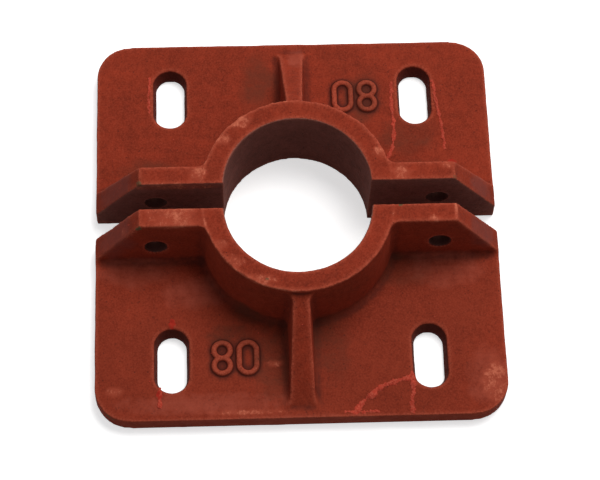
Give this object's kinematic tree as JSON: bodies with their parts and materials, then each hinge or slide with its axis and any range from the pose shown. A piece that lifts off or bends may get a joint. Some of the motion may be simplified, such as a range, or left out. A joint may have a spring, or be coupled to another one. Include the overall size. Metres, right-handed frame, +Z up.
{
  "type": "tube clamp base flange",
  "caption": "Split base flange in cast iron: slotted half plates with half collars, ribs and bolted ears that clamp an upright tube and anchor it to a surface.",
  "frame": {"origin": "on the surface that the flange stands on, midway between the two halves as they lie loose", "axes": "+Z up along the tube; Y along the parting line between the halves; X across it, towards the near half"},
  "size_m": [0.2566, 0.25, 0.055],
  "materials": {
    "primed_iron": "sand-cast iron under a thin matt coat of red-oxide primer"
  },
  "bodies": {
    "root": {"flange_half_near": "primed_iron", "flange_half_far": "primed_iron"}
  },
  "joints": []
}
